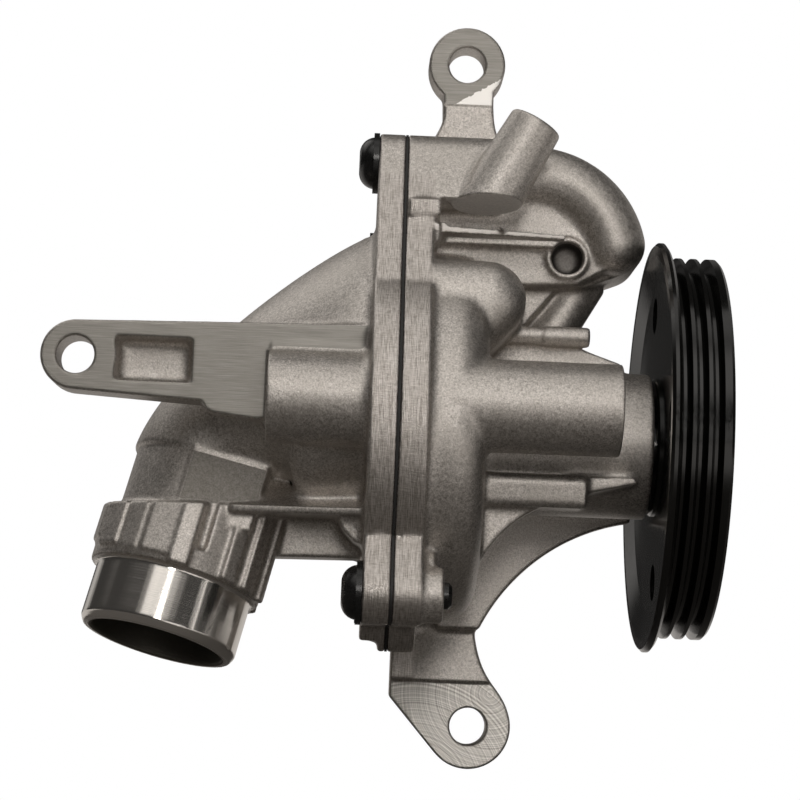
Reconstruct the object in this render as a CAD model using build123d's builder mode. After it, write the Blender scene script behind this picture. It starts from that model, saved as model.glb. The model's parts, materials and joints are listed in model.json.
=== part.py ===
"""Belt-driven engine coolant pump: two die-cast shells, an inlet elbow, and a rotor on an integral shaft bearing.

Frame: the origin is on the shaft axis, in the joint face of the front housing. +X runs along the shaft towards the
pulley, +Y points at the engine block that the two big eyes bolt to, and +Z is up. Millimetres.
"""

from build123d import *

import os
from math import cos, pi, radians, sin, sqrt, tan

os.makedirs("parts", exist_ok=True)

# ---------------------------------------------------------------- driving dimensions
SHAFT_R = 6.35
BEARING_R = 13.0
CLEAR = 0.03  # radial gap between a turning piece and a still one

# Joint between the two shells, seen along the shaft as (y, z)
GASKET_T = 0.6
FRONT_FLANGE = 6.5
COVER_BACK = -6.8  # the bolt seats, behind the joint face
JOINT_R = 45.0
LOBE_R = 7.0
BOLTS = [(-9.0, 63.9), (-36.0, -38.2), (24.0, -37.0), (26.0, 46.0)]
TOP_BOSS, BOLT_BOSS = 22.0, 11.3
DOWELS = [BOLTS[1], BOLTS[3]]
DOWEL_R, DOWEL_LENGTH = 4.3, 4.0
BOLT_R, BOLT_LENGTH = 3.0, 20.0
BOLT_FLANGE_R, BOLT_FLANGE_T, BOLT_HEAD = 7.15, 1.3, 4.6

# Long boss for an M8 bolt: clear through the front housing, tapped into the rear cover
LONG_BOSS = (-32.3, 5.0)
LONG_BOSS_R = 10.5
LONG_BOSS_FRONT, LONG_BOSS_BACK = 49.8, -29.8
LUG, LUG_R = (10.0, -44.8), 6.0  # low locating lug of the joint
THROUGH_R, TAP_R, TAP_DEPTH = 4.25, 3.4, 26.0
HOLE_BOTTOM, TOP_HOLE_BOTTOM = 14.2, 18.0  # the tapped holes for the cover bolts

# Mounting eyes: plates parallel to XZ that end on the block plane
BLOCK_Y = 34.0
EYE_T = 10.3
EYE_HOLE_R = 4.5
SPOT_DEPTH = 0.8
TOP_EYE, TOP_EYE_R = (14.6, 96.8), 9.6
LOW_EYE, LOW_EYE_R = (20.8, -68.1), 10.4

# Side arm of the rear cover
ARM_FRONT, ARM_T = -34.0, 12.0
ARM_EYE, ARM_EYE_R, ARM_HOLE_R = (-73.2, 12.6), 7.9, 4.25

# Volute, discharge duct and outlet
CHAMBER_R, CHAMBER_DEPTH = 26.0, 12.0
VOLUTE_R, VOLUTE_DEPTH, VOLUTE_ROUND = 43.0, 19.8, 7.5
DISCHARGE, DISCHARGE_R, DISCHARGE_Y = (14.5, 28.3), 7.6, -16.0  # the passage inside the duct
DUCT_CORNERS = [(19.3, 30.3, 9.0), (8.0, 30.3, 9.0), (9.5, 20.0, 9.0)]  # outside of the duct, as (x, z, radius)
DUCT_FRONT, DUCT_ROUND = -30.5, 8.0
WALL = 3.5
HORN, HORN_RING_R, HORN_TUBE_R = (30.5, 43.3), 20.6, 7.4
HORN_FROM, HORN_SWEEP = 14.0, 104.0
POCKET, POCKET_R, POCKET_FLOOR = (39.0, 44.0), 3.8, 1.0
OUTLET, OUTLET_R, OUTLET_LAND = (28.0, 53.0), 11.0, 6.0

# Bearing nose and the rolling bearing in it
NOSE_R, NOSE_END, BRACE_END = 17.3, 59.6, 58.6
BEARING_X, BEARING_LENGTH = 24.5, 30.0
BALL_R, BALLS, PITCH_R = 2.38, 9, 8.4
ROWS = (BEARING_X + 7.0, BEARING_X + 23.0)

# Inlet elbow: the lower leg leans back towards -X and towards -Y
LEG_TOP = (-44.0, 0.0, -10.0)
LEAN_X, LEAN_Y = 13.5, 12.0
LEG_LENGTH = 43.0
DUCT_R, DUCT_BORE_R = 18.3, 15.6
SPIGOT_R, SPIGOT_LENGTH, SPIGOT_LEAD = 18.5, 14.6, 1.6
COLLAR_R, COLLAR_TOP = 20.2, -18.8
SHELF_BOTTOM = -20.6
INLET_EYE_R = 14.5  # the hole through which the impeller draws coolant

# Ribs round the collar as (angle from the right-hand side towards the viewer, width, reach, stop above the spigot)
COLLAR_RIBS = [
    (168, 8.0, 20.9, 4.5),
    (143, 7.0, 21.2, 2.0),
    (124, 4.6, 20.7, 1.6),
    (104, 7.0, 21.0, 1.6),
    (87.5, 4.4, 21.8, 0.1),
    (53, 4.0, 21.6, 0.1),
    (35, 4.0, 21.7, 0.1),
    (14, 3.2, 21.6, 0.1),
    (-30, 6.0, 21.4, 0.1),
    (-65, 6.0, 21.4, 2.0),
    (-100, 6.0, 21.4, 2.0),
    (-140, 6.0, 21.4, 2.0),
]
SLOT_TURN, SLOT_WIDTH, SLOT_FLOOR, SLOT_STOP = 75.6, 2.2, 18.6, 5.0

# Pulley
PULLEY_BACK, PULLEY_END = 59.6, 74.0
PULLEY_R, PULLEY_FLANGE_R, PULLEY_BORE_R = 45.2, 48.6, 38.5
GROOVE_PITCH, GROOVE_DEPTH, GROOVE_TOP = 3.56, 2.9, 2.7
FIRST_GROOVE = 63.2
WEB_X, WEB_T = 61.4, 2.6
WEB_HOLE_R, WEB_HOLE_RING, WEB_HOLE_TURN = 4.3, 32.7, 81.2
HUB_R = 16.4


# ---------------------------------------------------------------- helpers
def depth(y):
    """The XZ plane at depth y. Its sketches read (x, z) and extrude towards -Y."""
    return Plane.XZ.offset(-y)


def belt(*circles):
    """A face wrapped round circles, each given as (x, y, radius)."""
    with BuildSketch(mode=Mode.PRIVATE) as wrap:
        for x, y, r in circles:
            with Locations((x, y)):
                Circle(r)
        make_hull()
    return wrap.sketch


def joint_outline():
    """The joint face, drawn into the active sketch: a disc with a lobe for each bolt, cut off at the block plane."""
    Circle(JOINT_R)
    top_y, top_z = BOLTS[0]
    add(belt((0, 8, 38), (top_y, top_z, LOBE_R)))
    for y, z in BOLTS[1:]:
        add(belt((0.72 * y, 0.72 * z, 11), (y, z, LOBE_R)))
    add(belt((7, -31, 11), (*LUG, LUG_R)))
    with Locations((BLOCK_Y + 50, 0)):
        Rectangle(100, 300, mode=Mode.SUBTRACT)


def tube_along_x(centre, r, start, length, mode=Mode.ADD):
    """A round bar or hole parallel to the shaft, centred at (y, z)."""
    with BuildSketch(Plane.YZ.offset(start)) as section:
        with Locations(centre):
            Circle(r)
    extrude(section.sketch, amount=length, mode=mode)


def turned(points, mode=Mode.ADD):
    """A solid turned about the shaft axis from a polygon of (x, radius)."""
    with BuildSketch(Plane.XY) as section:
        with BuildLine():
            Polyline(*points, close=True)
        make_face()
    revolve(section.sketch, axis=Axis.X, mode=mode)


def ring(inner, outer, start, end, mode=Mode.ADD):
    """A plain ring on the shaft axis."""
    turned([(start, inner), (start, outer), (end, outer), (end, inner)], mode)


def plate(y_front, thickness, points):
    """A flat web parallel to XZ, from a polygon of (x, z)."""
    with BuildSketch(depth(y_front + thickness)) as web:
        with BuildLine():
            Polyline(*points, close=True)
        make_face()
    extrude(web.sketch, amount=thickness)


def ball_groove(x, mode=Mode.SUBTRACT):
    """The round-bottomed track that one row of balls leaves in a race."""
    with BuildSketch(Plane.XY) as track:
        with Locations((x, PITCH_R)):
            Circle(BALL_R + CLEAR)
    revolve(track.sketch, axis=Axis.X, mode=mode)


def save(builder, name):
    builder.part.label = name
    export_step(builder.part, f"parts/{name}.step")


# ---------------------------------------------------------------- front housing
with BuildPart() as discharge_duct:
    with BuildSketch(depth(BLOCK_Y - 4)):
        add(belt(*DUCT_CORNERS))
    extrude(amount=BLOCK_Y - 4 - DUCT_FRONT)
    fillet(discharge_duct.faces().sort_by(Axis.Y)[0].edges(), DUCT_ROUND)

with BuildPart() as front_housing:
    with BuildSketch(Plane.YZ):
        joint_outline()
    extrude(amount=FRONT_FLANGE)

    # Volute body with a rounded outer edge
    with BuildSketch(Plane.XY):
        with BuildLine():
            edge_r = VOLUTE_R - VOLUTE_ROUND
            edge_x = VOLUTE_DEPTH - VOLUTE_ROUND
            mid = VOLUTE_ROUND * sqrt(0.5)
            Polyline((VOLUTE_DEPTH, edge_r), (VOLUTE_DEPTH, 0), (0, 0), (0, VOLUTE_R), (edge_x, VOLUTE_R))
            ThreePointArc((edge_x, VOLUTE_R), (edge_x + mid, edge_r + mid), (VOLUTE_DEPTH, edge_r))
        make_face()
    revolve(axis=Axis.X)

    # Discharge duct: a rounded passage across the top of the volute, towards the block
    add(discharge_duct.part)

    # Outlet chamber: the curved horn in front, and the box behind it
    horn_start = radians(HORN_FROM)
    along, across = cos(horn_start), sin(horn_start)
    horn_plane = Plane(origin=(HORN[0], 0, HORN[1]), x_dir=(along, 0, across), z_dir=(-across, 0, along))
    with BuildSketch(horn_plane):
        with Locations((HORN_RING_R, 0)):
            Circle(HORN_TUBE_R)
        with Locations((HORN_RING_R, 10)):
            Rectangle(2 * HORN_TUBE_R, 20)
    revolve(axis=Axis((HORN[0], 0, HORN[1]), (0, -1, 0)), revolution_arc=HORN_SWEEP)
    horn_tip = (HORN[0] + HORN_RING_R * along, HORN[1] + HORN_RING_R * across)
    with Locations((horn_tip[0], 0, horn_tip[1])):
        Sphere(HORN_TUBE_R)
    with BuildSketch(depth(20)):
        add(belt((*horn_tip, HORN_TUBE_R), (42, 44.5, 7)))
    extrude(amount=20)
    with BuildSketch(depth(BLOCK_Y)):
        add(belt((*OUTLET, OUTLET_R + OUTLET_LAND), (DISCHARGE[0], DISCHARGE[1], DISCHARGE_R + 4.4)))
        add(belt((*OUTLET, OUTLET_R + OUTLET_LAND), (43.5, 46.5, 8.5), (12, 57, 11)))
    extrude(amount=BLOCK_Y - 2)
    plate(-3.5, 12, [(5, 36), (41.6, 37.8), (49, 42), (46, 52), (30, 60), (5, 60)])

    # Rim of the round pocket beside the horn
    with BuildSketch(depth(0)):
        with Locations(POCKET):
            Circle(POCKET_R + 1.3)
    extrude(amount=4.6)

    # Thin fin across the wall, and the pads where it meets the flange
    with BuildSketch(Plane.XY.offset(46.0)):
        with BuildLine():
            Polyline((2, 0), (2, -22), (37.3, -18), (37.3, 0), close=True)
        make_face()
    extrude(amount=2.4)
    for z, tall in ((45.6, 4.4), (51.4, 4.0)):
        with Locations((4.2, -15, z)):
            Box(7.4, 18, tall)

    # Top bolt boss, its front flush with the flange, and the other bolt bosses
    tube_along_x(BOLTS[0], LOBE_R, 0, TOP_BOSS)
    with BuildSketch(Plane.YZ):
        add(belt((0, 8, 38), (*BOLTS[0], LOBE_R)))
        with Locations((-15, 64.2)):
            Rectangle(40, 20, mode=Mode.INTERSECT)
    extrude(amount=TOP_BOSS)
    with Locations((12, 10, 62)):
        Box(22, 40, 15)
    for y, z in BOLTS[1:]:
        tube_along_x((y, z), LOBE_R - 0.8, 0, BOLT_BOSS)
        tube_along_x((0.88 * y, 0.88 * z), LOBE_R - 1.5, 0, BOLT_BOSS - 2)

    # Slanting round boss, cut off by a face that looks down and a little forwards
    with BuildSketch(Plane(origin=(29.7, -17, 73.6), z_dir=(-0.48, 0, -0.877))):
        Circle(6.4)
    extrude(amount=27, taper=-2.4)
    with BuildSketch(Plane(origin=(24.5, -17, 53.6), x_dir=(1, 0, 0), z_dir=(0, -0.17, -0.985))):
        Rectangle(30, 24)
    extrude(amount=6.5, mode=Mode.SUBTRACT)

    # Slanting drain passage behind the top rib
    with BuildSketch(Plane(origin=(44.5, 8, 41), z_dir=(-0.5, 0, -0.866))):
        Circle(5.6)
    extrude(amount=26)

    # Bearing nose with its saddle, and the ribs that run along it
    tube_along_x((0, 0), NOSE_R, VOLUTE_DEPTH - 3, NOSE_END - VOLUTE_DEPTH + 3)
    plate(-2, 13, [(15, 0), (15, 25.0), (44, 22.4), (53, 19.4), (53, 0)])
    tube_along_x((-3.4, 25.2), 2.1, 15, 19)
    tube_along_x((-3.4, 25.2), 2.4, 34, 11)
    with BuildSketch(Plane.YZ.offset(15)):
        add(belt((-22, -11.3, 2.3), (-22, -15.0, 1.8)))
        with Locations((-12, -13)):
            Rectangle(22, 6.4)
    extrude(amount=28.7)
    plate(-22.5, 18, [(40, -9.1), (54.5, -9.2), (55.5, -10.4), (43.8, -13.2), (40, -13.2)])
    tube_along_x(LONG_BOSS, LONG_BOSS_R, 0, LONG_BOSS_FRONT)
    with Locations((24, -16, LONG_BOSS[1])):
        Box(40, 30, 12)

    # Gusset under the ribs, with a hollow lower edge
    with BuildSketch(depth(-14)):
        with BuildLine():
            Polyline((20.5, -29), (15, -38), (10, -38), (10, -10), (36, -10), (35, -16))
            ThreePointArc((35, -16), (27, -20.8), (20.5, -29))
        make_face()
    extrude(amount=5)

    # Brace from the nose down to the low eye
    with BuildSketch(depth(26)):
        with BuildLine():
            Polyline((22.4, -44.5), (12, -44.5), (12, -6), (BRACE_END, -6), (BRACE_END, -17))
            ThreePointArc((BRACE_END, -17), (36.7, -26.6), (22.4, -44.5))
        make_face()
    extrude(amount=6)
    with Locations((NOSE_END - 20, 12, -10)):
        Box(40, 24, 9)

    # Low eye and its arm
    with BuildSketch(depth(BLOCK_Y)):
        with BuildLine():
            ex, ez = LOW_EYE
            tangent = (ex - LOW_EYE_R * 0.737, ez - LOW_EYE_R * 0.676)
            bottom = (ex + LOW_EYE_R * 0.423, ez - LOW_EYE_R * 0.906)
            side = (ex + LOW_EYE_R * 0.94, ez + LOW_EYE_R * 0.342)
            Polyline((23.4, -22), (1.2, -22), (1.2, -61.5), tangent)
            ThreePointArc(tangent, bottom, side)
            Spline(side, (25.1, -55.8), (21.1, -40.4), (21.0, -33.0), (23.4, -22), tangents=((-0.3, 1), (0.4, 1)))
        make_face()
    extrude(amount=EYE_T)

    # Top eye and its neck
    with BuildSketch(depth(BLOCK_Y)):
        with Locations(TOP_EYE):
            Circle(TOP_EYE_R)
        with BuildLine():
            Polyline((21.5, 90), (8.9, 90), (9.1, 84))
            Spline((9.1, 84), (7.1, 78), (4.0, 71), tangents=((0, -1), (-0.6, -1)))
            Polyline((4.0, 71), (5, 60), (31, 60), (30, 71))
            Spline((30, 71), (23.5, 77.5), (21.5, 90), tangents=((-1, 0.6), (0, 1)))
        make_face()
    extrude(amount=EYE_T)

    # Milled faces round the eyes, their holes, the block plane and the joint face
    with BuildSketch(depth(BLOCK_Y - EYE_T + SPOT_DEPTH)):
        with Locations((TOP_EYE[0], TOP_EYE[1] + 11)):
            Rectangle(40, 2 * 21.6)
        with Locations((LOW_EYE[0], LOW_EYE[1] - 10)):
            Rectangle(60, 2 * 20.8)
    extrude(amount=EYE_T, mode=Mode.SUBTRACT)
    with BuildSketch(depth(BLOCK_Y + 1)):
        with Locations(TOP_EYE, LOW_EYE):
            Circle(EYE_HOLE_R)
    extrude(amount=EYE_T + 2, mode=Mode.SUBTRACT)
    with Locations((30, BLOCK_Y + 30, 0)):
        Box(120, 60, 300, mode=Mode.SUBTRACT)
    with Locations((-15, -10, 0)):
        Box(30, 100, 300, mode=Mode.SUBTRACT)

    # Impeller chamber, its scroll, and the passages to the outlet
    tube_along_x((0, 0), CHAMBER_R, 0, CHAMBER_DEPTH, Mode.SUBTRACT)
    tube_along_x((1.0, 2.5), CHAMBER_R + 2.5, 0, CHAMBER_DEPTH - 3, Mode.SUBTRACT)
    with BuildSketch(depth(BLOCK_Y - 4 - WALL)):
        with Locations(DISCHARGE):
            Circle(DISCHARGE_R)
    extrude(amount=BLOCK_Y - 4 - WALL - DISCHARGE_Y, mode=Mode.SUBTRACT)
    with Locations((DISCHARGE[0], DISCHARGE_Y, DISCHARGE[1])):
        Sphere(DISCHARGE_R, mode=Mode.SUBTRACT)
    with BuildSketch(depth(BLOCK_Y - 8)):
        add(belt((*OUTLET, OUTLET_R - 1), (DISCHARGE[0] + 1, DISCHARGE[1], 8.0)))
    extrude(amount=16, mode=Mode.SUBTRACT)
    with BuildSketch(depth(BLOCK_Y)):
        with Locations(OUTLET):
            Circle(OUTLET_R)
    extrude(amount=BLOCK_Y - 3, mode=Mode.SUBTRACT)
    with BuildSketch(depth(BLOCK_Y)):
        with Locations(OUTLET):
            Circle(OUTLET_R + 3.5)
            Circle(OUTLET_R + 1.1, mode=Mode.SUBTRACT)
    extrude(amount=2.1, mode=Mode.SUBTRACT)

    # Round pocket beside the horn
    with BuildSketch(depth(POCKET_FLOOR)):
        with Locations(POCKET):
            Circle(POCKET_R)
    extrude(amount=10, mode=Mode.SUBTRACT)

    # Seal bore, bearing bore, and the weep hole between them
    tube_along_x((0, 0), BEARING_R - 1.2, 0, BEARING_X, Mode.SUBTRACT)
    tube_along_x((0, 0), BEARING_R, BEARING_X, NOSE_END - BEARING_X + 1, Mode.SUBTRACT)
    with BuildSketch(Plane.XY.offset(-NOSE_R - 1)):
        with Locations((22.8, 0)):
            Circle(1.6)
    extrude(amount=NOSE_R, mode=Mode.SUBTRACT)

    # Tapped bolt holes, dowel counterbores and the long through hole
    for y, z in BOLTS:
        bottom = TOP_HOLE_BOTTOM if z > HORN[1] + 10 else HOLE_BOTTOM
        tube_along_x((y, z), BOLT_R + 0.05, 0, bottom, Mode.SUBTRACT)
    for centre in DOWELS:
        tube_along_x(centre, DOWEL_R, 0, DOWEL_LENGTH, Mode.SUBTRACT)
    tube_along_x(LONG_BOSS, THROUGH_R, -1, LONG_BOSS_FRONT + 2, Mode.SUBTRACT)
save(front_housing, "front_housing")

# ---------------------------------------------------------------- rear cover with the inlet elbow
leg_way = Vector(-tan(radians(LEAN_X)), -tan(radians(LEAN_Y)), -1).normalized()
leg_top = Vector(*LEG_TOP)


def leg_plane(distance):
    """The plane across the inlet leg at a distance down from its top."""
    return Plane(origin=leg_top + leg_way * distance, x_dir=(1, 0, leg_way.X / -leg_way.Z), z_dir=leg_way)


def duct_sections(wall):
    """The duct's cross-sections from the leg to the joint, as (plane, radius), shrunk by a wall thickness."""
    bend = Plane(origin=(-34.5, 0, -1.2), x_dir=(0, 1, 0), z_dir=(0.74, 0, 0.67))
    throat = Plane(origin=(-22, 0, 8.6), x_dir=(0, 1, 0), z_dir=(1, 0, 0))
    seat = Plane(origin=(COVER_BACK + 2, 0, 14.5), x_dir=(0, 1, 0), z_dir=(1, 0, 0))
    return [(leg_plane(0), DUCT_R - wall), (bend, 21.6 - wall), (throat, 30.2 - wall), (seat, 34.0 - wall)]


# Collar: a clamp stop with ribs that run along the pipe, a slot beside the shelf, and a level top
COLLAR_FROM, COLLAR_END = 2.0, LEG_LENGTH - SPIGOT_LENGTH

with BuildPart() as collar:
    with BuildSketch(leg_plane(COLLAR_FROM)):
        Circle(COLLAR_R)
    extrude(amount=COLLAR_END - COLLAR_FROM)
    for angle, width, reach, stop in COLLAR_RIBS:
        with BuildSketch(leg_plane(COLLAR_FROM)) as rib:
            with PolarLocations(reach - 3, 1, start_angle=angle):
                Rectangle(6, width)
        extrude(rib.sketch, amount=COLLAR_END - COLLAR_FROM - stop)
    with BuildSketch(leg_plane(COLLAR_FROM)) as slot:
        with PolarLocations(SLOT_FLOOR + 5, 1, start_angle=SLOT_TURN):
            Rectangle(10, SLOT_WIDTH)
    extrude(slot.sketch, amount=COLLAR_END - COLLAR_FROM - SLOT_STOP, mode=Mode.SUBTRACT)
    with Locations((LEG_TOP[0], 0, COLLAR_TOP + 30)):
        Box(100, 100, 60, mode=Mode.SUBTRACT)

with BuildPart() as rear_cover:
    with BuildSketch(Plane.YZ.offset(COVER_BACK)):
        joint_outline()
    extrude(amount=-COVER_BACK - GASKET_T)

    # Duct from the joint round the bend, and the leg down to the hose spigot
    for plane, r in duct_sections(0):
        with BuildSketch(plane):
            Circle(r)
    loft()
    with BuildSketch(leg_plane(-2)):
        with Locations((0.9, 0)):
            Circle(DUCT_R)
    extrude(amount=LEG_LENGTH - SPIGOT_LENGTH + 2)
    with BuildSketch(leg_plane(LEG_LENGTH - SPIGOT_LENGTH - 1)):
        Circle(SPIGOT_R)
    extrude(amount=SPIGOT_LENGTH - SPIGOT_LEAD + 1)
    for along, r in ((0, SPIGOT_R - 0.9), (SPIGOT_LEAD, SPIGOT_R)):
        with BuildSketch(leg_plane(LEG_LENGTH - along)):
            Circle(r)
    loft()

    # Flat panel that squares off the front of the leg, and the collar below it
    with BuildSketch(leg_plane(-8)):
        with Locations((5.5, 9.1)):
            Rectangle(18.0, 18.2)
    extrude(amount=24)
    add(collar.part)

    # Wall between the leg and the joint, and the slope that runs down from it to the shelf
    plate(-6, 16, [(COVER_BACK + 1, 0), (COVER_BACK + 1, -29.4), (-30, -29.8), (-30, -2)])
    with BuildSketch(Plane.YZ.offset(-34)):
        with BuildLine():
            Polyline((0, -8.5), (-8, -10.5), (-21, COLLAR_TOP), (0, COLLAR_TOP), close=True)
        make_face()
    extrude(amount=34 + COVER_BACK + 1)

    # Long boss, the side arm with its eye, and the web that carries it
    tube_along_x(LONG_BOSS, LONG_BOSS_R, LONG_BOSS_BACK, -LONG_BOSS_BACK - GASKET_T)
    eye_x, eye_z = ARM_EYE
    with BuildSketch(depth(ARM_FRONT + ARM_T)):
        with Locations(ARM_EYE):
            Circle(ARM_EYE_R)
        with BuildLine():
            Polyline((eye_x, eye_z + ARM_EYE_R), (COVER_BACK + 2, 22.2), (COVER_BACK + 2, -4), (-29, -4), (-29, 2.0))
            Polyline((-29, 2.0), (-45.3, 3.2), (eye_x, eye_z - ARM_EYE_R), (eye_x, eye_z + ARM_EYE_R))
        make_face()
    extrude(amount=ARM_T)
    with BuildSketch(depth(-2)):
        with BuildLine():
            Polyline((COVER_BACK + 2, 20), (-44, 17), (-44, 4), (COVER_BACK + 2, -4), close=True)
        make_face()
    extrude(amount=22)

    # Bump under the arm with a small cross hole
    with BuildSketch(depth(ARM_FRONT + 9)):
        add(belt((-41, 4.0, 3.4), (-32, 3.0, 3.4)))
    extrude(amount=9)

    # Shelf between the collar and the joint, with a thick underside near the joint
    with BuildSketch(Plane.XY.offset(SHELF_BOTTOM)):
        with BuildLine():
            Polyline((COVER_BACK + 1, 0), (COVER_BACK + 1, -30), (-37.5, -22), (-37.5, 0), close=True)
        make_face()
    extrude(amount=COLLAR_TOP - SHELF_BOTTOM)
    with BuildSketch(depth(-4)):
        with BuildLine():
            Polyline((COVER_BACK + 1, -19.5), (-13, -19.5), (-12, -23.5), (-9, -26.5), (COVER_BACK + 1, -27), close=True)
        make_face()
    extrude(amount=20)

    # Relief behind the low lug, so that the cover is thin there
    with Locations((COVER_BACK + 1.4, 10, -60)):
        Box(6, 30, 23.4, mode=Mode.SUBTRACT)

    # Water way from the hose to the eye of the impeller
    for plane, r in duct_sections(WALL):
        with BuildSketch(plane):
            Circle(r)
    loft(mode=Mode.SUBTRACT)
    with BuildSketch(leg_plane(-1)):
        Circle(DUCT_BORE_R)
    extrude(amount=LEG_LENGTH + 2, mode=Mode.SUBTRACT)
    tube_along_x((0, 0), INLET_EYE_R, COVER_BACK, -COVER_BACK, Mode.SUBTRACT)

    with Locations((0, BLOCK_Y + 30, 0)):
        Box(100, 60, 200, mode=Mode.SUBTRACT)

    # Pocket, eye hole, cross hole and the tapped hole of the long boss
    with BuildSketch(depth(ARM_FRONT + 7)):
        with Locations((-55.7, 12.2)):
            Rectangle(17.2, 9.8)
        with Locations(ARM_EYE):
            Circle(ARM_EYE_R + 1.4, mode=Mode.SUBTRACT)
    extrude(amount=8, mode=Mode.SUBTRACT)
    with BuildSketch(depth(ARM_FRONT + ARM_T + 1)):
        with Locations(ARM_EYE):
            Circle(ARM_HOLE_R)
    extrude(amount=ARM_T + 2, mode=Mode.SUBTRACT)
    with BuildSketch(Plane.XY.offset(-5)):
        with Locations((-38.5, ARM_FRONT + 4.5)):
            Circle(1.6)
    extrude(amount=12, mode=Mode.SUBTRACT)
    tube_along_x(LONG_BOSS, TAP_R, -GASKET_T - TAP_DEPTH, TAP_DEPTH + 2, Mode.SUBTRACT)
    for centre in BOLTS:
        tube_along_x(centre, BOLT_FLANGE_R + 0.6, COVER_BACK - 8, 8, Mode.SUBTRACT)
        tube_along_x(centre, BOLT_R + 0.3, COVER_BACK - 3, 12, Mode.SUBTRACT)
    for centre in DOWELS:
        tube_along_x(centre, DOWEL_R, -GASKET_T - DOWEL_LENGTH, DOWEL_LENGTH + 1, Mode.SUBTRACT)
save(rear_cover, "rear_cover")

# ---------------------------------------------------------------- joint gasket, bolts and dowels
with BuildPart() as joint_gasket:
    with BuildSketch(Plane.YZ.offset(-GASKET_T)):
        joint_outline()
        Circle(CHAMBER_R + 5, mode=Mode.SUBTRACT)
        for centre in BOLTS:
            with Locations(centre):
                Circle(BOLT_R + 0.3, mode=Mode.SUBTRACT)
        for centre in DOWELS:
            with Locations(centre):
                Circle(DOWEL_R, mode=Mode.SUBTRACT)
        with Locations(LONG_BOSS):
            Circle(THROUGH_R, mode=Mode.SUBTRACT)
    extrude(amount=GASKET_T)
save(joint_gasket, "joint_gasket")


# One M6 bolt along +X with its axis on the shaft's, to be copied to each place
with BuildPart() as bolt:
    flange_top = COVER_BACK - BOLT_FLANGE_T
    head_top = COVER_BACK - BOLT_HEAD
    tip = COVER_BACK + BOLT_LENGTH
    with BuildSketch(Plane.XY):
        with BuildLine():
            Polyline((head_top, 2.6), (head_top, 0), (tip, 0), (tip, BOLT_R - 0.8), (tip - 0.8, BOLT_R))
            Polyline((tip - 0.8, BOLT_R), (COVER_BACK, BOLT_R), (COVER_BACK, BOLT_FLANGE_R))
            Polyline((COVER_BACK, BOLT_FLANGE_R), (flange_top, BOLT_FLANGE_R), (flange_top, 6.1))
            ThreePointArc((flange_top, 6.1), (head_top + 1.0, 4.9), (head_top, 2.6))
        make_face()
    revolve(axis=Axis.X)
    with BuildSketch(Plane.YZ.offset(head_top)):
        RegularPolygon(2.3, 6)
    extrude(amount=2.4, mode=Mode.SUBTRACT)

with BuildPart() as cover_bolts:
    with Locations(*[(0, y, z) for y, z in BOLTS]):
        add(bolt.part)
save(cover_bolts, "cover_bolts")

with BuildPart() as dowel_sleeves:
    with BuildSketch(Plane.YZ.offset(-GASKET_T - DOWEL_LENGTH + 0.3)):
        with Locations(*DOWELS):
            Circle(DOWEL_R)
            Circle(BOLT_R + 0.3, mode=Mode.SUBTRACT)
    extrude(amount=2 * DOWEL_LENGTH + GASKET_T - 0.6)
save(dowel_sleeves, "dowel_sleeves")

# ---------------------------------------------------------------- shaft and the rolling bearing on it
SHAFT_TIP, SHAFT_END = 0.8, 66.0

with BuildPart() as pump_shaft:
    turned([
        (SHAFT_TIP, 0), (SHAFT_TIP, SHAFT_R - 0.6), (SHAFT_TIP + 0.6, SHAFT_R),
        (SHAFT_END - 0.6, SHAFT_R), (SHAFT_END, SHAFT_R - 0.6), (SHAFT_END, 0),
    ])
    for x in ROWS:
        ball_groove(x)
save(pump_shaft, "pump_shaft")

RACE_LAND_R = 10.0
SEAL_RECESS_R, SEAL_T = 10.8, 1.4

with BuildPart() as bearing_outer_ring:
    ring(RACE_LAND_R, BEARING_R, BEARING_X, BEARING_X + BEARING_LENGTH)
    for x in ROWS:
        ball_groove(x)
    ring(RACE_LAND_R - 1, SEAL_RECESS_R, BEARING_X - 1, BEARING_X + SEAL_T, Mode.SUBTRACT)
    end = BEARING_X + BEARING_LENGTH
    ring(RACE_LAND_R - 1, SEAL_RECESS_R, end - SEAL_T, end + 1, Mode.SUBTRACT)
save(bearing_outer_ring, "bearing_outer_ring")

for name, start in (("bearing_seal_rear", BEARING_X), ("bearing_seal_front", BEARING_X + BEARING_LENGTH - SEAL_T)):
    with BuildPart() as bearing_seal:
        ring(SHAFT_R + CLEAR, SEAL_RECESS_R, start, start + SEAL_T)
    save(bearing_seal, name)


def ball_centres(x):
    return [(x, PITCH_R * cos(2 * pi * k / BALLS), PITCH_R * sin(2 * pi * k / BALLS)) for k in range(BALLS)]


CAGE_INNER, CAGE_OUTER, CAGE_HALF = 7.4, 9.4, 3.2

for end, x in (("rear", ROWS[0]), ("front", ROWS[1])):
    with BuildPart() as ball_row:
        with Locations(*ball_centres(x)):
            Sphere(BALL_R)
    save(ball_row, f"ball_row_{end}")

    with BuildPart() as ball_cage:
        ring(CAGE_INNER, CAGE_OUTER, x - CAGE_HALF, x + CAGE_HALF)
        with Locations(*ball_centres(x)):
            Sphere(BALL_R + CLEAR, mode=Mode.SUBTRACT)
    save(ball_cage, f"ball_cage_{end}")

with BuildPart() as slinger_ring:
    turned([(21.8, SHAFT_R), (21.8, 9.2), (22.4, 9.2), (23.2, 8.0), (23.2, SHAFT_R)])
save(slinger_ring, "slinger_ring")

# ---------------------------------------------------------------- mechanical seal, from the impeller outwards
SEAL_BORE_R = BEARING_R - 1.2
CASE_INNER_R = SEAL_BORE_R - 0.8
FLOOR = CHAMBER_DEPTH
SEAT_BACK, SEAT_FACE = 9.9, 12.4
FILM = 0.03
CARBON_END, CASE_END = 14.6, 21.0

with BuildPart() as seal_seat_ring:
    ring(SHAFT_R, 9.6, SEAT_BACK, SEAT_FACE)
save(seal_seat_ring, "seal_seat_ring")

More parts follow.
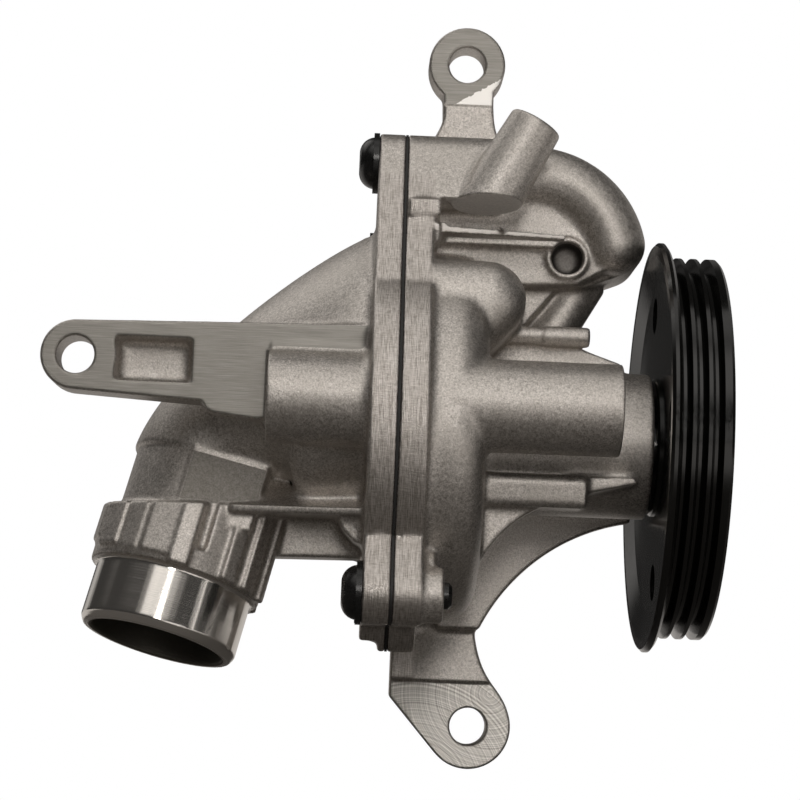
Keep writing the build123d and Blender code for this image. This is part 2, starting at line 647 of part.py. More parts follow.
with BuildPart() as seal_face_ring:
    nose = SEAT_FACE + FILM
    turned([(nose, 7.2), (nose, 9.0), (13.4, 9.0), (13.4, 10.2), (CARBON_END, 10.2), (CARBON_END, 7.2)])
save(seal_face_ring, "seal_face_ring")

with BuildPart() as seal_bellows:
    turned([
        (CARBON_END, 7.4), (CARBON_END, 10.6), (CARBON_END + 0.7, 10.6), (CARBON_END + 0.7, 8.6),
        (CASE_END - 1.6, 8.6), (CASE_END - 1.6, CASE_INNER_R), (CASE_END - 0.8, CASE_INNER_R), (CASE_END - 0.8, 7.4),
    ])
save(seal_bellows, "seal_bellows")

with BuildPart() as seal_case:
    turned([
        (FLOOR - 0.8, CASE_INNER_R), (FLOOR - 0.8, 14.0), (FLOOR, 14.0), (FLOOR, SEAL_BORE_R),
        (CASE_END, SEAL_BORE_R), (CASE_END, 8.2), (CASE_END - 0.8, 8.2), (CASE_END - 0.8, CASE_INNER_R),
    ])
save(seal_case, "seal_case")

SPRING_R, WIRE_R, SPRING_START, SPRING_LENGTH = 9.75, 0.45, 15.85, 3.0

with BuildPart() as seal_spring:
    with BuildLine() as coil:
        Helix(1.2, SPRING_LENGTH, SPRING_R, center=(SPRING_START, 0, 0), direction=(1, 0, 0))
    with BuildSketch(coil.line ^ 0):
        Circle(WIRE_R)
    sweep(path=coil.line, is_frenet=True)
save(seal_spring, "seal_spring")

# ---------------------------------------------------------------- impeller
VANES, VANE_FRONT, DISC_FRONT, DISC_BACK = 6, 1.2, 7.6, 9.4
INSERT_R, IMPELLER_R, IMPELLER_HUB_R = 8.4, 24.5, 10.4

with BuildPart() as impeller_insert:
    ring(SHAFT_R, INSERT_R, VANE_FRONT, SEAT_BACK)
save(impeller_insert, "impeller_insert")

with BuildSketch() as vane:
    with BuildLine():
        ThreePointArc((9.2, -0.9), (17.6, 2.6), (22.9, 8.4))
        Line((22.9, 8.4), (22.0, 10.2))
        ThreePointArc((22.0, 10.2), (16.8, 4.4), (9.2, 1.1))
        Line((9.2, 1.1), (9.2, -0.9))
    make_face()

with BuildPart() as impeller:
    ring(INSERT_R, IMPELLER_R, DISC_FRONT, DISC_BACK)
    ring(INSERT_R, IMPELLER_HUB_R, VANE_FRONT + 0.6, DISC_BACK)
    with BuildSketch(Plane.YZ.offset(VANE_FRONT)):
        with PolarLocations(0, VANES):
            add(vane.sketch)
    extrude(amount=DISC_FRONT - VANE_FRONT)
save(impeller, "impeller")

# ---------------------------------------------------------------- drive hub and pulley
HUB_BOSS_R = 10.5

with BuildPart() as drive_hub:
    back = NOSE_END + 0.8
    turned([
        (back, SHAFT_R), (back, HUB_R - 0.5), (back + 0.5, HUB_R), (WEB_X, HUB_R),
        (WEB_X, HUB_BOSS_R), (SHAFT_END, HUB_BOSS_R), (SHAFT_END, SHAFT_R),
    ])
save(drive_hub, "drive_hub")


def pulley_profile():
    """Half the pulley's section as (x, radius): web, tall back flange, belt ribs, and the inside of the rim."""
    floor_r = PULLEY_R - GROOVE_DEPTH
    points = [(WEB_X, HUB_BOSS_R), (WEB_X, WEB_HOLE_RING + 6.8), (PULLEY_BACK, PULLEY_FLANGE_R - 3.0)]
    points += [(PULLEY_BACK, PULLEY_FLANGE_R - 0.7), (PULLEY_BACK + 0.7, PULLEY_FLANGE_R)]
    points += [(PULLEY_BACK + 1.5, PULLEY_FLANGE_R), (PULLEY_BACK + 2.2, PULLEY_FLANGE_R - 0.9)]
    points += [(FIRST_GROOVE - GROOVE_TOP / 2 - 0.1, PULLEY_R)]
    for k in range(3):
        valley = FIRST_GROOVE + k * GROOVE_PITCH
        points += [(valley - 0.35, floor_r), (valley + 0.35, floor_r)]
        points += [(valley + GROOVE_TOP / 2, PULLEY_R)]
        if k < 2:
            points += [(valley + GROOVE_PITCH - GROOVE_TOP / 2, PULLEY_R)]
    points += [(PULLEY_END - 0.7, PULLEY_R), (PULLEY_END, PULLEY_R - 0.7), (PULLEY_END, PULLEY_BORE_R + 2.0)]
    points += [(PULLEY_END - 0.8, PULLEY_BORE_R + 1.0), (WEB_X + WEB_T + 2.5, PULLEY_BORE_R)]
    points += [(WEB_X + WEB_T, PULLEY_BORE_R - 2.5), (WEB_X + WEB_T, HUB_BOSS_R)]
    return points


with BuildPart() as pulley:
    turned(pulley_profile())
    with BuildSketch(Plane.YZ.offset(WEB_X - 3)):
        with PolarLocations(WEB_HOLE_RING, 4, start_angle=WEB_HOLE_TURN):
            Circle(WEB_HOLE_R)
    extrude(amount=WEB_T + 6, mode=Mode.SUBTRACT)
save(pulley, "pulley")

# ---------------------------------------------------------------- outlet seal
with BuildPart() as outlet_o_ring:
    o_ring_centre = (OUTLET[0], BLOCK_Y - 0.95, OUTLET[1])
    with BuildSketch(Plane(origin=o_ring_centre, x_dir=(1, 0, 0), z_dir=(0, 0, 1))):
        with Locations((OUTLET_R + 2.3, 0)):
            Circle(1.15)
    revolve(axis=Axis(o_ring_centre, (0, 1, 0)))
save(outlet_o_ring, "outlet_o_ring")
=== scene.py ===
"""Looks of the belt-driven coolant pump: cast shells with fillets and machined faces, black pulley, studio.

Everything is in metres in the frame of the CAD parts. Shape work on the two castings is done in millimetres,
on signed distance fields made from the CAD meshes, which are then turned back into meshes.
"""

import json
import math

import bpy
import numpy as np
import openvdb
from mathutils import Matrix, Vector


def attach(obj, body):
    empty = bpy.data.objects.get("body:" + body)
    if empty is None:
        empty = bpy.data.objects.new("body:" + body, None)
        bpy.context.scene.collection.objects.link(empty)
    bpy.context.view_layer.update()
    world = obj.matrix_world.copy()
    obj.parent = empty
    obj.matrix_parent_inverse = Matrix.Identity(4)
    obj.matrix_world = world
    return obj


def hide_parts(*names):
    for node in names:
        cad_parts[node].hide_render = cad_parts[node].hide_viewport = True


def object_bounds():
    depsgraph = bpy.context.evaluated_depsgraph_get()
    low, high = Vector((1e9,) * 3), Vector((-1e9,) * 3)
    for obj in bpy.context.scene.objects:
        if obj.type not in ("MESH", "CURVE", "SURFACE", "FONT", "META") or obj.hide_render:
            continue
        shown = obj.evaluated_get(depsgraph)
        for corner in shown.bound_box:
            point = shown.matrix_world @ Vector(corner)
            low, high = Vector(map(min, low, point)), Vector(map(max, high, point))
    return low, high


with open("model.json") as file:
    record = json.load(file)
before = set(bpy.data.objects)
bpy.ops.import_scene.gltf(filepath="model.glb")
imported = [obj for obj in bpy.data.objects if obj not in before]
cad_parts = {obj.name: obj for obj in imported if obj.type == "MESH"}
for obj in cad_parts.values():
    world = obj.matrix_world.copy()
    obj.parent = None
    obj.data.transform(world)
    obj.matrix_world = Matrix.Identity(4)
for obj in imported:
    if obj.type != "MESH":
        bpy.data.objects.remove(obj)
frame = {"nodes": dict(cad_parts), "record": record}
cad_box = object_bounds()
MM = 0.001

# ---------------------------------------------------------------- places on the castings, in millimetres
VOXEL = 0.4
BAND = 12
HOUSING_FILLET, COVER_FILLET, CAST_EDGE = 0.95, 1.2, 0.36  # blur of the inner corners and of the outer edges
COLLAR_FILLET, COLLAR_EDGE = 0.6, 0.3
JOINT_FACE_REAR = -0.6
COVER_BACK, FLANGE_FRONT = -6.8, 6.5
BOLTS = [(-9.0, 63.9), (-36.0, -38.2), (24.0, -37.0), (26.0, 46.0)]
BOLT_HEAD_ROOM, BOLT_CLEAR_R, TAP_R = 7.65, 3.3, 3.05
HOLE_BOTTOM, TOP_HOLE_BOTTOM = 14.2, 18.0
SEAL_BORE_R, BEARING_R, BEARING_SEAT = 11.8, 13.0, 24.5
CHAMBER_R, CHAMBER_DEPTH = 26.0, 12.0
LONG_BOSS, LONG_BOSS_HOLE_R = (-32.3, 5.0), 4.25
BEFORE, BEYOND = -5.0, 60.0  # along the shaft: clear of the joint face, and past the nose
TOP_EYE, LOW_EYE = (14.6, 96.8), (20.8, -68.1)
EYE_HOLE_R = 4.5
TOP_MILL_Z, LOW_MILL_Z, MILL_Y = 86.2, -57.3, 24.5  # edges and depth of the milled faces round the two eyes
ARM_EYE, ARM_HOLE_R, ARM_FACE_Y = (-73.2, 12.6), 4.25, -34.0
FIN_Z, FIN_T, FIN_X = 47.2, 2.4, (1.0, 38.0)
POCKET, POCKET_R = (39.0, 44.0), 3.75
SLANT_CUT = (-17.0, 53.6)  # a point (y, z) on the cut face under the slanting boss
SLANT_NORMAL = (-0.17, -0.985)
SLANT_X = (9.0, 37.0)
LEG_TOP = np.array([-44.0, 0.0, -10.0])
LEG_WAY = np.array([-math.tan(math.radians(13.5)), -math.tan(math.radians(12.0)), -1.0])
LEG_WAY /= np.linalg.norm(LEG_WAY)
LEG_RIGHT = np.array([1.0, 0.0, LEG_WAY[0] / -LEG_WAY[2]])
LEG_RIGHT /= np.linalg.norm(LEG_RIGHT)
LEG_FRONT = np.cross(LEG_RIGHT, LEG_WAY)
if LEG_FRONT[1] > 0:
    LEG_FRONT = -LEG_FRONT
SPIGOT_FROM = 28.4
HOSE_BORE_R = 15.6
COLLAR_TOP_Z = -18.8
GLINT_SLOPE, GLINT_Z = 0.61, 88.3  # slope of the top eye's painted bright corner, and its height below the eye


# ---------------------------------------------------------------- distance fields
def ramp(a, b, v):
    """0 below a, 1 above b, smooth in between."""
    t = np.clip((v - a) / (b - a), 0, 1)
    return t * t * (3 - 2 * t)


class Field:
    """A casting as a dense signed distance field in millimetres."""

    def __init__(self, node):
        mesh = frame["nodes"][node].data
        mesh.calc_loop_triangles()
        points = np.empty(len(mesh.vertices) * 3, np.float32)
        mesh.vertices.foreach_get("co", points)
        corners = np.empty(len(mesh.loop_triangles) * 3, np.int32)
        mesh.loop_triangles.foreach_get("vertices", corners)
        self.transform = openvdb.createLinearTransform(voxelSize=VOXEL)
        grid = openvdb.FloatGrid.createLevelSetFromPolygons(
            points.reshape(-1, 3) / MM,
            triangles=corners.reshape(-1, 3).astype(np.uint32),
            transform=self.transform,
            halfWidth=BAND,
        )
        low, high = (np.array(c) for c in grid.evalActiveVoxelBoundingBox())
        self.low = low - 2
        size = high - low + 5
        self.d = np.empty(size, np.float32)
        grid.copyToArray(self.d, ijk=tuple(int(v) for v in self.low))
        axes = [(self.low[i] + np.arange(size[i], dtype=np.float32)) * VOXEL for i in range(3)]
        self.x = axes[0][:, None, None]
        self.y = axes[1][None, :, None]
        self.z = axes[2][None, None, :]

    def blur(self, d, sigma):
        """A Gaussian blur with its sigma in millimetres."""
        s = sigma / VOXEL
        reach = min(int(math.ceil(2.6 * s)), BAND)
        weights = [math.exp(-0.5 * (k / s) ** 2) for k in range(reach + 1)]
        total = weights[0] + 2 * sum(weights[1:])
        for axis in range(3):
            out = d * (weights[0] / total)
            for k in range(1, reach + 1):
                w = weights[k] / total
                out += w * np.roll(d, k, axis)
                out += w * np.roll(d, -k, axis)
            d = out
        return d

    def rod(self, centre, r, start, end):
        """Distance to a round bar parallel to the shaft."""
        across = np.sqrt((self.y - centre[0]) ** 2 + (self.z - centre[1]) ** 2) - r
        along = np.maximum(start - self.x, self.x - end)
        return np.maximum(across, along)

    def pin(self, centre, r):
        """Distance to a round bar parallel to Y, through the whole part."""
        return np.sqrt((self.x - centre[0]) ** 2 + (self.z - centre[1]) ** 2) - r + 0 * self.y

    def down_leg(self):
        """Distance down the inlet leg from its top."""
        x, y, z = (axis - top for axis, top in zip((self.x, self.y, self.z), LEG_TOP))
        return x * LEG_WAY[0] + y * LEG_WAY[1] + z * LEG_WAY[2]

    def drill(self, tool):
        """Cuts away everything inside the tool, which is a distance field too."""
        self.d = np.maximum(self.d, -tool)

    def sample(self, points):
        """The field at points in millimetres, trilinear."""
        at = points / VOXEL - self.low
        base = np.clip(np.floor(at).astype(int), 0, np.array(self.d.shape) - 2)
        f = at - base
        total = np.zeros(len(points))
        for i in (0, 1):
            for j in (0, 1):
                for k in (0, 1):
                    w = np.where(i, f[:, 0], 1 - f[:, 0]) * np.where(j, f[:, 1], 1 - f[:, 1])
                    w = w * np.where(k, f[:, 2], 1 - f[:, 2])
                    total += w * self.d[base[:, 0] + i, base[:, 1] + j, base[:, 2] + k]
        return total

    def mesh(self, name):
        """A mesh of the zero surface, with smooth normals taken from the slope of the field."""
        grid = openvdb.FloatGrid(BAND * VOXEL)
        grid.transform = self.transform
        grid.gridClass = openvdb.GridClass.LEVEL_SET
        grid.copyFromArray(self.d, ijk=tuple(int(v) for v in self.low))
        points, triangles, quads = grid.convertToPolygons(isovalue=0.0, adaptivity=0.0)
        faces = [tuple(f[::-1]) for f in quads.tolist()] + [tuple(f[::-1]) for f in triangles.tolist()]
        mesh = bpy.data.meshes.new(name)
        mesh.from_pydata((points * MM).tolist(), [], faces)
        mesh.validate()
        step = 0.7 * VOXEL
        at = np.empty(len(mesh.vertices) * 3, np.float32)
        mesh.vertices.foreach_get("co", at)
        at = at.reshape(-1, 3).astype(float) / MM
        slopes = [self.sample(at + step * e) - self.sample(at - step * e) for e in np.eye(3)]
        normals = np.stack(slopes, 1)
        normals /= np.maximum(np.linalg.norm(normals, axis=1, keepdims=True), 1e-9)
        mesh.polygons.foreach_set("use_smooth", np.ones(len(mesh.polygons), bool))
        mesh.normals_split_custom_set_from_vertices(normals.tolist())
        made = bpy.data.objects.new(name, mesh)
        bpy.context.scene.collection.objects.link(made)
        return made


def cast(field, fillet, edge, crisp):
    """Fillets inner corners and softens outer edges, except where crisp is 1."""
    raw = field.d
    soft = field.blur(np.minimum(raw, field.blur(raw, fillet)), edge)
    sharp = field.blur(raw, 0.5 * VOXEL)
    return soft + (sharp - soft) * crisp


# ---------------------------------------------------------------- front housing
def front_housing():
    """Fillets, except on the joint face, the milled eyes, the cut boss, the long boss's end and the fin."""
    f = Field("front_housing")
    x, y, z = f.x, f.y, f.z
    crisp = 1 - ramp(0.9, 1.7, x) + 0 * y + 0 * z
    top = ramp(TOP_MILL_Z - 0.8, TOP_MILL_Z - 0.2, z)
    low = 1 - ramp(LOW_MILL_Z - 0.7, LOW_MILL_Z + 0.5, z)
    crisp = np.maximum(crisp, (1 - ramp(MILL_Y + 0.8, MILL_Y + 2.1, y)) * np.maximum(top, low))
    cut = (y - SLANT_CUT[0]) * SLANT_NORMAL[0] + (z - SLANT_CUT[1]) * SLANT_NORMAL[1]
    slant = (1 - ramp(0.5, 1.0, np.abs(cut))) * (1 - ramp(-10, -9, y))
    slant = slant * ramp(SLANT_X[0] - 1, SLANT_X[0], x) * (1 - ramp(SLANT_X[1], SLANT_X[1] + 1, x))
    crisp = np.maximum(crisp, slant)
    crisp = np.maximum(crisp, ramp(48.9, 49.4, x) * (1 - ramp(-20.5, -19.5, y)))
    fin = ramp(45.5, 45.9, z) * (1 - ramp(48.5, 48.9, z)) * (1 - ramp(-8, -6, y))
    crisp = np.maximum(crisp, fin * ramp(7, 8, x) * (1 - ramp(38, 39, x)))
    f.d = cast(f, HOUSING_FILLET, CAST_EDGE, crisp)
    f.drill(f.rod((0, 0), SEAL_BORE_R, BEFORE, BEARING_SEAT))
    f.drill(f.rod((0, 0), BEARING_R, BEARING_SEAT, BEYOND))
    f.drill(f.rod((0, 0), CHAMBER_R, BEFORE, CHAMBER_DEPTH))
    for centre in BOLTS:
        f.drill(f.rod(centre, TAP_R, BEFORE, TOP_HOLE_BOTTOM if centre == BOLTS[0] else HOLE_BOTTOM))
    f.drill(f.rod(LONG_BOSS, LONG_BOSS_HOLE_R, BEFORE, BEYOND))
    for eye in (TOP_EYE, LOW_EYE):
        f.drill(f.pin(eye, EYE_HOLE_R))
    f.drill(x + 0 * y + 0 * z)
    return f


# ---------------------------------------------------------------- rear cover
def rear_cover():
    """Cast fillets, finer on the hose collar, with a crisp joint face, arm face and spigot."""
    f = Field("rear_cover")
    x, y, z = f.x, f.y, f.z
    along = f.down_leg()
    crisp = ramp(-2.1, -1.5, x) + 0 * y + 0 * z
    arm_face = (1 - ramp(ARM_FACE_Y + 0.6, ARM_FACE_Y + 1.4, y)) * (1 - ramp(-30, -29, x)) + 0 * z
    crisp = np.maximum(crisp, arm_face)
    crisp = np.maximum(crisp, ramp(SPIGOT_FROM - 0.3, SPIGOT_FROM + 0.3, along))
    whole = cast(f, COVER_FILLET, CAST_EDGE, crisp)
    fine = cast(f, COLLAR_FILLET, COLLAR_EDGE, crisp)
    collar = (1 - ramp(COLLAR_TOP_Z + 1.2, COLLAR_TOP_Z + 2.0, z)) * (1 - ramp(-26, -23, x)) + 0 * y
    f.d = whole + (fine - whole) * collar
    for centre in BOLTS:
        f.drill(f.rod(centre, BOLT_HEAD_ROOM, COVER_BACK - 8, COVER_BACK))
        f.drill(f.rod(centre, BOLT_CLEAR_R, COVER_BACK - 3, 2))
    f.drill(np.maximum(f.pin(ARM_EYE, ARM_HOLE_R), y + 15))
    f.drill(JOINT_FACE_REAR - x + 0 * y + 0 * z)
    return f


# ---------------------------------------------------------------- node graphs
class Graph:
    """A material's node tree, written as nested calls."""

    def __init__(self, name, world=False):
        self.owner = bpy.data.worlds.new(name) if world else bpy.data.materials.new(name)
        self.owner.use_nodes = True
        self.tree = self.owner.node_tree
        self.tree.nodes.clear()

    def add(self, kind, settings=None, **inputs):
        node = self.tree.nodes.new("ShaderNode" + kind)
        for key, value in (settings or {}).items():
            setattr(node, key, value)
        for key, value in inputs.items():
            self.plug(node, key.replace("_", " "), value)
        return node

    def plug(self, node, key, value):
        socket = node.inputs[int(key)] if key.isdigit() else node.inputs[key]
        if isinstance(value, bpy.types.NodeSocket):
            self.tree.links.new(value, socket)
        elif hasattr(socket.default_value, "__len__") and isinstance(value, (tuple, list)):
            opaque = (1.0,) if len(socket.default_value) == len(value) + 1 else ()
            socket.default_value = tuple(value) + opaque
        else:
            socket.default_value = value

    def math(self, op, a, b=0.0, c=0.0):
        node = self.add("Math", {"operation": op})
        for i, value in enumerate((a, b, c)):
            self.plug(node, str(i), value)
        return node.outputs[0]

    def times(self, a, b):
        return self.math("MULTIPLY", a, b)

    def plus(self, a, b):
        return self.math("ADD", a, b)

    def step(self, a, b, v):
        """0 below a, 1 above b."""
        node = self.add("MapRange", {"interpolation_type": "SMOOTHSTEP"})
        for key, value in (("Value", v), ("From Min", a), ("From Max", b)):
            self.plug(node, key, value)
        return node.outputs[0]

    def fit(self, v, a, b, c, d):
        node = self.add("MapRange", {"clamp": True})
        for key, value in (("Value", v), ("From Min", a), ("From Max", b), ("To Min", c), ("To Max", d)):
            self.plug(node, key, value)
        return node.outputs[0]

    def vector(self, op, a, b=(0, 0, 0), scale=1.0):
        node = self.add("VectorMath", {"operation": op})
        self.plug(node, "0", a)
        self.plug(node, "1", b)
        if op == "SCALE":
            self.plug(node, "Scale", scale)
        return node.outputs["Value" if op in ("DOT_PRODUCT", "LENGTH", "DISTANCE") else "Vector"]

    def noise(self, at, scale, detail=2.0, rough=0.55, stretch=None):
        if stretch:
            at = self.vector("MULTIPLY", at, stretch)
        node = self.add("TexNoise", Vector=at, Scale=scale, Detail=detail, Roughness=rough)
        return node.outputs["Fac"]

    def mix(self, f, a, b):
        node = self.add("Mix", {"data_type": "RGBA"})
        for key, value in ((0, f), (6, a), (7, b)):
            self.plug(node, str(key), value)
        return node.outputs[2]

    def blend(self, f, a, b):
        node = self.add("Mix", {"data_type": "FLOAT"})
        for key, value in ((0, f), (2, a), (3, b)):
            self.plug(node, str(key), value)
        return node.outputs[0]

    def bump(self, height, depth_mm, strength=1.0, normal=None):
        node = self.add("Bump", Height=height, Distance=depth_mm * MM, Strength=strength)
        if normal:
            self.plug(node, "Normal", normal)
        return node.outputs[0]

    def millimetres(self):
        at = self.add("TexCoord").outputs["Object"]
        return self.vector("SCALE", at, scale=1 / MM)

    def finish(self, **inputs):
        shader = self.add("BsdfPrincipled")
        for key, value in inputs.items():
            self.plug(shader, key.replace("_", " "), value)
        out = self.add("OutputMaterial")
        self.tree.links.new(shader.outputs[0], out.inputs[0])
        return self.owner


class CastSkin(Graph):
    """Blasted cast aluminium, with other finishes over it where the castings are filed, milled or turned, and
    painted shade and painted light on a few faces.
    """

    def __init__(self):
        super().__init__("cast_aluminium")
        self.at = self.millimetres()
        self.x, self.y, self.z = self.add("SeparateXYZ", Vector=self.at).outputs
        self.surface = self.add("NewGeometry").outputs["Normal"]
        self.normal = self.add("SeparateXYZ", Vector=self.surface).outputs
        self.forwards = self.times(self.normal[1], -1.0)
        self.facing = self.step(0.8, 0.95, self.forwards)
        self.flat = self.add("CombineXYZ", X=self.x, Y=0.0, Z=self.z).outputs[0]
        self.fine = self.noise(self.at, 2.6, 2.0, 0.7)
        self.mid = self.noise(self.at, 1.15, 2.0)
        self.from_leg = self.vector("SUBTRACT", self.at, tuple(LEG_TOP))
        self.along = self.vector("DOT_PRODUCT", self.from_leg, tuple(LEG_WAY))

    def outside(self, a, b, value):
        """1 below a, 0 above b."""
        return self.math("SUBTRACT", 1.0, self.step(a, b, value))

    def inside(self, span, value):
        """1 where the value is within the span."""
        return self.math("COMPARE", value, (span[0] + span[1]) / 2, (span[1] - span[0]) / 2)

    def lines(self, value, offset=0.0, detail=3.0, rough=0.6):
        """Uneven parallel lines along one changing value."""
        at = self.add("CombineXYZ", X=value, Y=offset, Z=0.0).outputs[0]
        return self.noise(at, 1.0, detail, rough)

    def cover(self, mask, colour=None, rough=None, height=None):
        """Shows another colour, roughness or relief where the mask is 1."""
        if colour is not None:
            self.colour = self.mix(mask, self.colour, colour)
        if rough is not None:
            self.rough = self.blend(mask, self.rough, rough)
        if height is not None:
            self.height = self.blend(mask, self.height, height)

    def blasted(self):
        wide = self.noise(self.at, 0.10, 3.0)
        speck = self.plus(self.times(self.fine, 0.65), self.times(self.mid, 0.35))
        self.tone = self.fit(speck, 0.36, 0.64, 0.0, 1.0)
        self.colour = self.mix(self.tone, (0.33, 0.305, 0.28), (0.80, 0.76, 0.72))
        self.cover(self.fit(wide, 0.35, 0.65, 0.0, 0.35), colour=(0.50, 0.47, 0.43))
        self.rough = self.fit(self.mid, 0.3, 0.7, 0.42, 0.53)
        grain = self.plus(self.times(self.fine, 0.7), self.times(self.mid, 0.5))
        self.height = self.plus(grain, self.times(wide, 3.0))

    def dull_leg_panel(self):
        """Painted shade on the flat panel on the front of the inlet leg: a darker colour, and a rougher
        finish.
        """
        likeness = self.vector("DOT_PRODUCT", self.surface, tuple(LEG_FRONT))
        above_collar = self.step(COLLAR_TOP_Z - 0.1, COLLAR_TOP_Z + 0.2, self.z)
        panel = self.times(self.step(0.94, 0.985, likeness), above_collar)
        panel = self.times(panel, self.math("LESS_THAN", self.x, -22.0))
        panel = self.times(panel, self.math("GREATER_THAN", self.along, 1.0))
        # painted shade: a dark colour over the panel
        self.cover(self.times(panel, 0.62), colour=(0.16, 0.15, 0.13))
        self.cover(panel, rough=0.62)

    def cut_boss_face(self):
        """Painted light on the downward face that cuts off the slanting boss: a paler, less metallic colour.
        """
        off = self.times(self.plus(self.y, -SLANT_CUT[0]), SLANT_NORMAL[0])
        off = self.plus(off, self.times(self.plus(self.z, -SLANT_CUT[1]), SLANT_NORMAL[1]))
        face = self.times(self.math("COMPARE", off, 0.0, 0.5), self.inside(SLANT_X, self.x))
        face = self.times(face, self.math("LESS_THAN", self.y, -9.0))
        face = self.times(face, self.step(-0.7, -0.9, self.normal[2]))
        # painted light: a paler colour where the face gets little light
        self.cover(face, colour=self.mix(self.tone, (0.62, 0.59, 0.56), (0.8, 0.77, 0.73)))
        self.metallic = self.blend(face, 0.96, 0.2)

    def torn_fin(self):
        """Painted highlight: a near-white colour on the front edge of the thin fin, with a rougher relief."""
        fin = self.times(self.math("COMPARE", self.z, FIN_Z, FIN_T / 2 + 0.1), self.inside(FIN_X, self.x))
        fin = self.times(self.times(fin, self.facing), self.math("LESS_THAN", self.y, -16.5))
        # painted highlight: a near-white colour on the fin's front edge
        self.cover(self.times(fin, 0.8), colour=(0.95, 0.91, 0.87))
        self.cover(fin, rough=0.6)
        self.height = self.plus(self.height, self.times(self.times(fin, self.mid), 2.5))

    def dark_pocket(self):
        """Painted shade inside the blind round pocket beside the horn."""
        off = self.vector("DISTANCE", self.flat, (POCKET[0], 0.0, POCKET[1]))
        inside = self.times(self.math("LESS_THAN", off, POCKET_R), self.math("COMPARE", self.y, -3.0, 6.0))
        # painted shade: a near-black colour inside the pocket
        self.cover(self.times(inside, 0.8), colour=(0.07, 0.065, 0.06))

    def filed_rims(self):
        """Filing marks along the rims of the joint flanges, and short marks across them."""
        rim = self.step(COVER_BACK - 0.6, COVER_BACK + 0.4, self.x)
        rim = self.times(rim, self.outside(FLANGE_FRONT - 0.2, FLANGE_FRONT + 0.5, self.x))
        rim = self.times(rim, self.outside(0.35, 0.6, self.math("ABSOLUTE", self.normal[0])))
        rim = self.times(rim, self.outside(59, 61, self.math("ABSOLUTE", self.z)))
        long_marks = self.noise(self.at, 1.0, 3.0, 0.6, stretch=(4.5, 0.5, 0.28))
        cross_marks = self.noise(self.at, 1.0, 2.0, 0.5, stretch=(0.8, 0.8, 4.0))
        marks = self.plus(self.times(long_marks, 0.75), self.times(cross_marks, 0.35))
        tint = self.mix(self.fit(marks, 0.40, 0.66, 0.0, 1.0), (0.34, 0.31, 0.28), (0.66, 0.62, 0.585))
        self.cover(rim, tint, 0.40, self.plus(self.times(marks, 2.4), self.times(self.fine, 0.3)))

    def swirl(self, x, z, offset):
        """Cutter marks round a far centre, as a face mill leaves them."""
        off = self.vector("DISTANCE", self.flat, (x, 0.0, z))
        return self.lines(self.times(off, 2.2), offset)

    def machined_faces(self):
        """The milled faces round the two block eyes, and the brushed front of the side arm."""
        eyes = self.math(
            "MAXIMUM",
            self.step(TOP_MILL_Z - 0.1, TOP_MILL_Z + 0.1, self.z),
            self.outside(LOW_MILL_Z - 0.2, LOW_MILL_Z, self.z),
        )
        eyes = self.times(self.facing, self.times(eyes, self.step(-1.0, 0.0, self.x)))
        eyes = self.times(eyes, self.math("LESS_THAN", self.y, MILL_Y + 0.25))
        arm = self.times(self.facing, self.math("COMPARE", self.y, ARM_FACE_Y, 0.35))
        arm = self.times(arm, self.math("LESS_THAN", self.x, -7.5))

        low = self.math("LESS_THAN", self.z, 0.0)
        swirls = self.plus(self.swirl(26.0, -60.0, 0.0), self.swirl(8.0, -84.0, 9.0))
        swirls = self.times(swirls, self.fit(low, 0, 1, 0.25, 1.0))
        brushed = self.noise(self.at, 1.0, 3.0, 0.6, stretch=(0.12, 1.0, 3.6))
        bare = self.mix(self.fit(brushed, 0.3, 0.7, 0, 1), (0.24, 0.23, 0.21), (0.34, 0.325, 0.30))

        # painted reflection: a near-white colour on a corner of the top eye, with a ragged edge
        edge = self.plus(self.plus(self.z, self.times(self.x, -GLINT_SLOPE)), self.times(self.mid, 1.5))
        glint = self.math("LESS_THAN", edge, GLINT_Z + 0.75 - GLINT_SLOPE * TOP_EYE[0])
        bare = self.mix(self.times(glint, self.math("GREATER_THAN", self.z, 70.0)), bare, (0.85, 0.83, 0.80))
        streaks = self.mix(self.fit(swirls, 0.8, 1.2, 0, 1), (0.30, 0.285, 0.26), (0.86, 0.83, 0.79))
        bare = self.mix(self.times(low, eyes), bare, streaks)
        relief = self.blend(arm, swirls, self.times(brushed, 0.6))
        self.cover(self.math("MAXIMUM", eyes, arm), bare, 0.46, relief)

    def spigot_and_pipe(self):
        """The turned hose spigot, and painted shade on the inside of the inlet pipe."""
        on_axis = self.vector("SCALE", tuple(LEG_WAY), scale=self.along)
        off_axis = self.vector("LENGTH", self.vector("SUBTRACT", self.from_leg, on_axis))
        leg_side = self.math("LESS_THAN", self.x, -20.0)
        turned = self.step(SPIGOT_FROM - 0.2, SPIGOT_FROM + 0.1, self.along)
        turned = self.times(turned, self.step(HOSE_BORE_R + 0.8, HOSE_BORE_R + 1.2, off_axis))
        lathe = self.lines(self.times(self.along, 5.0), detail=2.0, rough=0.55)
        shine = self.fit(lathe, 0.3, 0.7, 0.10, 0.17)
        self.cover(self.times(turned, leg_side), (0.74, 0.71, 0.67), shine, self.times(lathe, 0.25))
        # painted shade: a dark colour inside the inlet pipe
        pipe = self.times(self.step(5, 8, self.along), self.math("LESS_THAN", off_axis, HOSE_BORE_R + 0.6))
        self.cover(self.times(pipe, leg_side), (0.16, 0.15, 0.13), 0.6)

    def leaning_neck(self):
        """Surface direction, with the draft of the low neck, which leans back towards its foot."""
        neck = self.times(self.step(0.9, 0.97, self.forwards), self.step(-42.0, -48.0, self.z))
        neck = self.times(neck, self.times(self.step(6.6, 7.4, self.x), self.step(10.0, 14.0, self.y)))
        lean = self.vector("SCALE", (0.0, 0.0, 0.2), scale=neck)
        return self.vector("NORMALIZE", self.vector("ADD", self.surface, lean))


